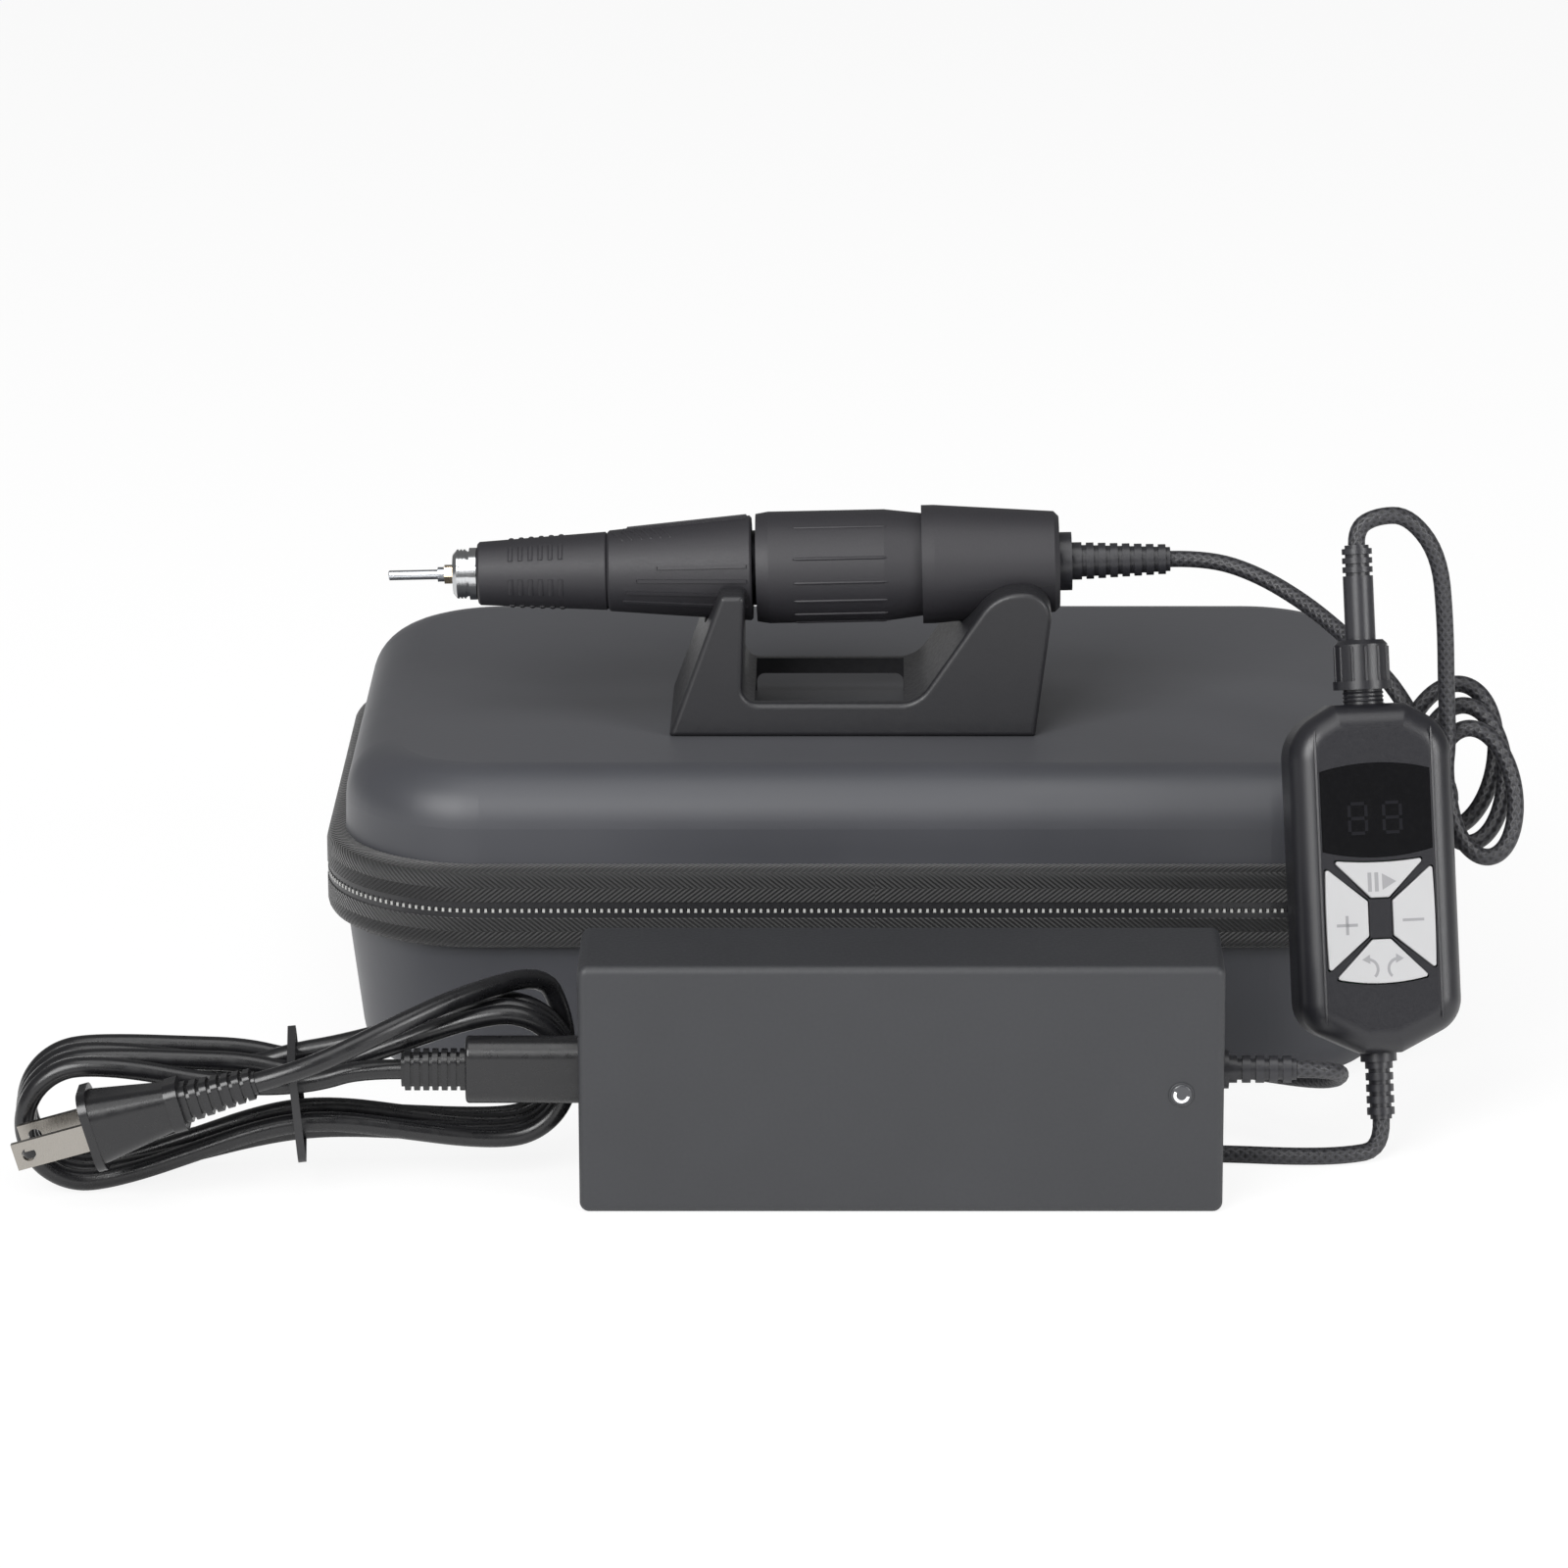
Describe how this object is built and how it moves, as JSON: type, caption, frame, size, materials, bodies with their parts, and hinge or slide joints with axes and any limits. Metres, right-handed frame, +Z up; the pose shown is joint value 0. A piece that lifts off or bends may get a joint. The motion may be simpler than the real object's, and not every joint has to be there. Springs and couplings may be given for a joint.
{
  "type": "portable nail drill",
  "caption": "Portable nail drill kit: handpiece in a cradle on its zipped case, inline controller with screen and buttons, mains adapter and all cords.",
  "frame": {"origin": "centre of the case's flat underside, on the surface that the kit stands on", "axes": "+X along the case to the right, +Y to its hinge at the back, +Z up"},
  "size_m": [0.348, 0.261, 0.1451],
  "materials": {
    "shell_board": "satin embossed foam shell",
    "zip_fabric": "woven herringbone tape",
    "zip_teeth": "moulded coil",
    "zip_metal": "black enamel",
    "cradle_plastic": "fine texture",
    "grip_plastic": "soft touch",
    "polished_steel": "polished",
    "tool_steel": "ground",
    "barrel_alloy": "turned",
    "brass_nut": "turned",
    "motor_iron": "laminated core with windings",
    "motor_end": "moulded",
    "boot_rubber": "ribbed",
    "controller_gloss": "satin gloss",
    "screen": "smoked window",
    "display": "two digit display",
    "circuit_board": "fibre board",
    "button_grey": "satin",
    "switch_plastic": "moulded",
    "adapter_plastic": "fine texture",
    "wound_parts": "core, winding and cans",
    "lamp": "clear lens",
    "lead_plastic": "flexible sheath",
    "blade_steel": "plated blades",
    "tie_plastic": "moulded strap",
    "braid": "braided sleeve"
  },
  "bodies": {
    "case_base": {"base_shell": "shell_board", "zip_tape_lower": "zip_fabric", "zip_coil_lower": "zip_teeth", "hinge_strip_lower": "zip_fabric", "controller_front": "controller_gloss", "controller_back": "controller_gloss", "shell_screws": "tool_steel", "display_window": "screen", "display_module": "display", "control_board": "circuit_board", "key_switches": "switch_plastic", "controller_socket": "controller_gloss", "cord_plug": "boot_rubber", "controller_gland": "boot_rubber", "adapter_front": "adapter_plastic", "adapter_back": "adapter_plastic", "adapter_board": "circuit_board", "power_components": "wound_parts", "status_led": "lamp", "mains_inlet": "adapter_plastic", "dc_gland": "boot_rubber", "cord_bundle": "braid", "cord_plug_run": "braid", "dc_run_out": "braid", "dc_coil": "braid", "dc_run_in": "braid", "lead_connector": "lead_plastic", "mains_plug": "lead_plastic", "plug_blades": "blade_steel", "lead_hank": "lead_plastic", "lead_plug_run": "lead_plastic", "lead_tie": "tie_plastic"},
    "lid": {"lid_shell": "shell_board", "zip_tape_upper": "zip_fabric", "zip_coil_upper": "zip_teeth", "hinge_strip_upper": "zip_fabric", "cradle": "cradle_plastic"},
    "handpiece": {"motor_housing": "grip_plastic", "rear_cap": "grip_plastic", "spindle_barrel": "barrel_alloy", "nose_cap": "polished_steel", "motor_stator": "motor_iron", "motor_end_bell": "motor_end", "spindle_bearings": "tool_steel", "handpiece_gland": "boot_rubber", "handpiece_cord": "braid"},
    "chuck_sleeve": {"front_grip": "grip_plastic", "twist_sleeve": "grip_plastic"},
    "spindle": {"spindle": "tool_steel", "spindle_nut": "brass_nut", "motor_rotor": "motor_iron"},
    "collet": {"collet": "tool_steel"},
    "bit": {"transit_pin": "tool_steel"},
    "button_top": {"button_top": "button_grey"},
    "button_left": {"button_left": "button_grey"},
    "button_bottom": {"button_bottom": "button_grey"},
    "button_right": {"button_right": "button_grey"},
    "lock_nut": {"lock_nut": "controller_gloss"},
    "zip_slider": {"zip_slider": "zip_metal"},
    "zip_pull": {"zip_pull": "zip_metal"}
  },
  "joints": [
    {"name": "lid_hinge", "type": "hinge", "parent": "case_base", "child": "lid", "pos_m": [0, 0.0878, 0.047], "axis": [-1, 0, 0], "range_deg": [0, 100]},
    {"name": "handpiece_lift", "type": "slide", "parent": "lid", "child": "handpiece", "axis": [0, 0, 1], "range_m": [0, 0.045]},
    {"name": "chuck_twist", "type": "hinge", "parent": "handpiece", "child": "chuck_sleeve", "pos_m": [0, -0.0265, 0.1146], "axis": [0.9998, 0, 0.0218], "range_deg": [0, 45]},
    {"name": "spindle_spin", "type": "hinge", "parent": "handpiece", "child": "spindle", "pos_m": [0, -0.0265, 0.1146], "axis": [0.9998, 0, 0.0218], "continuous": true},
    {"name": "collet_open", "type": "slide", "parent": "spindle", "child": "collet", "axis": [-0.9998, 0, -0.0218], "range_m": [0, 0.00081]},
    {"name": "bit_pull", "type": "slide", "parent": "collet", "child": "bit", "axis": [-0.9998, 0, -0.0218], "range_m": [0, 0.03]},
    {"name": "button_top_press", "type": "slide", "parent": "case_base", "child": "button_top", "axis": [-0.1045, 0.9536, -0.2825], "range_m": [0, 0.0005], "stiffness_N_per_m": 400},
    {"name": "button_left_press", "type": "slide", "parent": "case_base", "child": "button_left", "axis": [-0.1045, 0.9536, -0.2825], "range_m": [0, 0.0005], "stiffness_N_per_m": 400},
    {"name": "button_bottom_press", "type": "slide", "parent": "case_base", "child": "button_bottom", "axis": [-0.1045, 0.9536, -0.2825], "range_m": [0, 0.0005], "stiffness_N_per_m": 400},
    {"name": "button_right_press", "type": "slide", "parent": "case_base", "child": "button_right", "axis": [-0.1045, 0.9536, -0.2825], "range_m": [0, 0.0005], "stiffness_N_per_m": 400},
    {"name": "lock_nut_turn", "type": "hinge", "parent": "case_base", "child": "lock_nut", "pos_m": [0.11437, -0.111, 0.06495], "axis": [-0.0434, 0.2794, 0.9592], "range_deg": [0, 720]},
    {"name": "zip_slide", "type": "slide", "parent": "case_base", "child": "zip_slider", "axis": [0, -1, 0], "range_m": [0, 0.084]},
    {"name": "zip_pull_swing", "type": "hinge", "parent": "zip_slider", "child": "zip_pull", "pos_m": [0.1338, 0.043, 0.047], "axis": [0, -1, 0], "range_deg": [0, 90]}
  ],
  "couplings": [
    {"joint": "collet_open", "follows": "chuck_twist", "m_per_rad": 0.0010186}
  ]
}
